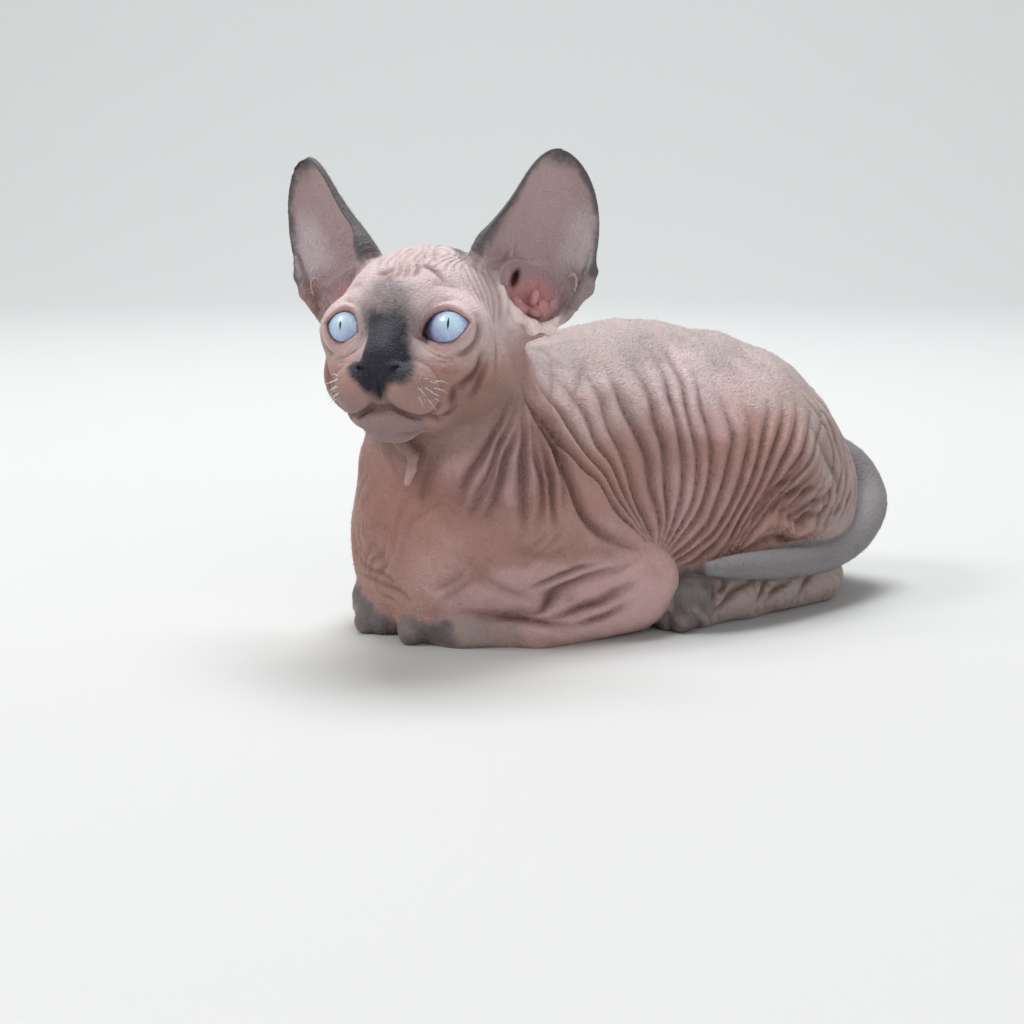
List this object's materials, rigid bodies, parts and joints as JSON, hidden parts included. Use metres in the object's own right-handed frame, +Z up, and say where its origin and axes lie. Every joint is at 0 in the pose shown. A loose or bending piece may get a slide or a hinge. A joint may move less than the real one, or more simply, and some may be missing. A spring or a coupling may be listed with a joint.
{
  "type": "sphynx cat model",
  "caption": "Life-size still model of a hairless sphynx kitten lying with its paws tucked in, head up and turned to its left, tail curled forward along its side.",
  "frame": {"origin": "on the floor under the middle of the trunk", "axes": "the kitten's trunk looks along -Y, its left side is on +X, and +Z is up from the floor"},
  "size_m": [0.097, 0.228, 0.1478],
  "materials": {
    "skin_face": "matte",
    "skin_pink": "matte",
    "skin_ear": "matte",
    "skin_slate": "matte",
    "eye": "gloss"
  },
  "bodies": {
    "root": {"head": "skin_face", "ear_left": "skin_ear", "ear_right": "skin_ear", "eye_left": "eye", "eye_right": "eye", "neck": "skin_pink", "trunk": "skin_pink", "foreleg_left": "skin_pink", "foreleg_right": "skin_pink", "forepaw_left": "skin_slate", "forepaw_right": "skin_slate", "haunch_left": "skin_pink", "haunch_right": "skin_pink", "hindfoot_left": "skin_slate", "hindfoot_right": "skin_slate", "tail_base": "skin_slate", "tail_middle": "skin_slate", "tail_tip": "skin_slate"}
  },
  "joints": []
}
